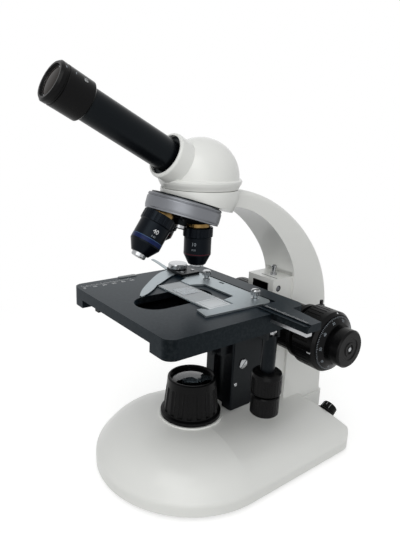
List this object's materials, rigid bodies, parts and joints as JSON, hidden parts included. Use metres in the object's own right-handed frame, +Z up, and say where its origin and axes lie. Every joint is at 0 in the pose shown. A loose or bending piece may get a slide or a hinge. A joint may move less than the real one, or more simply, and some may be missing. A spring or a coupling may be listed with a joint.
{
  "type": "student microscope",
  "caption": "Student microscope: domed base with lamp, swept arm, rack focus with coaxial knobs, mechanical stage, revolving nosepiece and inclined rotating eyepiece tube.",
  "frame": {"origin": "on the table plane, directly under the vertical optical axis", "axes": "+Z up along the optical axis, -Y towards the user, +X to the user's right, arm on the +Y side"},
  "size_m": [0.2301, 0.3154, 0.3542],
  "materials": {
    "white_paint": "casting with smooth semi-gloss white enamel",
    "black_paint": "satin black enamel",
    "black_plastic": "satin moulded plastic",
    "satin_silver": "satin anodised",
    "steel": "machined",
    "chrome": "polished",
    "brass": "machined",
    "clear_glass": "polished",
    "rubber": "matte",
    "lamp_white": "matte"
  },
  "bodies": {
    "stand": {"base_shell": "white_paint", "base_cover": "black_paint", "rubber_feet": "rubber", "base_screws": "steel", "arm": "white_paint", "lamp_housing": "black_plastic", "lamp_lens": "clear_glass", "lamp_board": "lamp_white", "switch_frame": "black_plastic", "power_socket": "black_plastic", "nosepiece_mount": "black_paint", "nosepiece_pivot": "steel", "focus_housing": "white_paint", "stop_screw": "chrome", "shaft_bushes": "brass"},
    "nosepiece": {"nosepiece_ring": "satin_silver", "nosepiece_turret": "black_paint", "port_plug": "black_plastic", "objective_4x": "black_paint", "objective_10x": "black_paint", "objective_40x": "black_paint", "objective_collars": "brass", "objective_noses": "chrome"},
    "viewing_head": {"head": "white_paint", "eyepiece_tube": "black_paint", "prism": "clear_glass"},
    "eyepiece": {"eyepiece_body": "black_plastic", "eyepiece_sleeve": "satin_silver", "eyepiece_lenses": "clear_glass"},
    "stage_carrier": {"focus_slide": "black_paint", "focus_rack": "steel", "stage_bracket": "black_paint", "lower_stage_plate": "black_paint", "stage_y_rack": "steel", "condenser_carrier": "black_paint", "condenser": "black_paint", "condenser_lens": "clear_glass"},
    "coarse_focus": {"coarse_shaft": "steel", "coarse_knobs": "black_plastic"},
    "fine_focus": {"fine_shaft": "steel", "fine_knobs": "black_plastic"},
    "tension_ring": {"tension_ring": "black_plastic"},
    "coarse_stop": {"coarse_stop_lever": "black_plastic"},
    "upper_stage": {"upper_stage_plate": "black_paint", "stage_guides": "black_paint", "drive_housing": "black_paint"},
    "y_drive": {"y_drive_shaft": "steel", "y_drive_knob": "black_plastic"},
    "x_drive": {"x_drive_shaft": "steel", "x_drive_knob": "black_plastic"},
    "cross_slide": {"cross_bar": "black_paint", "stage_x_rack": "steel", "slide_holder": "satin_silver", "holder_screws": "chrome", "specimen_slide": "clear_glass", "finger_bridge": "black_paint"},
    "finger": {"slide_finger": "satin_silver"},
    "iris": {"iris_lever": "steel"},
    "dimmer": {"dimmer_knob": "black_plastic"},
    "rocker": {"switch_rocker": "black_plastic"}
  },
  "joints": [
    {"name": "focus_travel", "type": "slide", "parent": "stand", "child": "stage_carrier", "axis": [0, 0, 1], "range_m": [-0.002, 0.0215]},
    {"name": "coarse_turn", "type": "hinge", "parent": "stand", "child": "coarse_focus", "pos_m": [0, 0.101, 0.1264], "axis": [1, 0, 0], "range_deg": [-206, 20]},
    {"name": "fine_turn", "type": "hinge", "parent": "coarse_focus", "child": "fine_focus", "pos_m": [0, 0.101, 0.1264], "axis": [1, 0, 0], "continuous": true},
    {"name": "tension_turn", "type": "hinge", "parent": "stand", "child": "tension_ring", "pos_m": [0, 0.101, 0.1264], "axis": [1, 0, 0], "range_deg": [-60, 60]},
    {"name": "coarse_stop_turn", "type": "hinge", "parent": "stand", "child": "coarse_stop", "pos_m": [0, 0.101, 0.1264], "axis": [1, 0, 0], "range_deg": [-60, 0]},
    {"name": "stage_y", "type": "slide", "parent": "stage_carrier", "child": "upper_stage", "axis": [0, 1, 0], "range_m": [-0.007, 0.016]},
    {"name": "y_drive_turn", "type": "hinge", "parent": "upper_stage", "child": "y_drive", "pos_m": [0.064, 0.034, 0.1], "axis": [0, 0, 1], "range_deg": [-84.5, 192]},
    {"name": "stage_x", "type": "slide", "parent": "upper_stage", "child": "cross_slide", "axis": [1, 0, 0], "range_m": [-0.036, 0.036]},
    {"name": "x_drive_turn", "type": "hinge", "parent": "upper_stage", "child": "x_drive", "pos_m": [0.064, 0.034, 0.1], "axis": [0, 0, 1], "range_deg": [-431, 431]},
    {"name": "finger_swing", "type": "hinge", "parent": "cross_slide", "child": "finger", "pos_m": [-0.066, 0.028, 0.17], "axis": [0, 0, 1], "range_deg": [-22, 0], "stiffness_Nm_per_rad": 0.05, "springref_deg": 11.46},
    {"name": "iris_turn", "type": "hinge", "parent": "stage_carrier", "child": "iris", "pos_m": [0, 0, 0.131], "axis": [0, 0, 1], "range_deg": [-25, 30]},
    {"name": "nosepiece_turn", "type": "hinge", "parent": "stand", "child": "nosepiece", "pos_m": [0, -0.01865, 0.2417], "axis": [0, 0.2924, 0.9563], "continuous": true},
    {"name": "head_turn", "type": "hinge", "parent": "stand", "child": "viewing_head", "pos_m": [0, 0, 0.2645], "axis": [0, 0, 1], "continuous": true},
    {"name": "eyepiece_turn", "type": "hinge", "parent": "viewing_head", "child": "eyepiece", "pos_m": [0, -0.10673, 0.32845], "axis": [0, -0.8894, 0.4571], "continuous": true},
    {"name": "brightness_turn", "type": "hinge", "parent": "stand", "child": "dimmer", "pos_m": [0.0535, 0.14275, 0.02325], "axis": [0, 0.8286, 0.5599], "range_deg": [-140, 140]},
    {"name": "power_rock", "type": "hinge", "parent": "stand", "child": "rocker", "pos_m": [-0.046, 0.14192, 0.02269], "axis": [0, 0.5599, -0.8286], "range_deg": [0, 12]}
  ],
  "couplings": [
    {"joint": "coarse_turn", "follows": "focus_travel", "rad_per_m": -166.67},
    {"joint": "y_drive_turn", "follows": "stage_y", "rad_per_m": 208.33},
    {"joint": "x_drive_turn", "follows": "stage_x", "rad_per_m": 208.33}
  ]
}
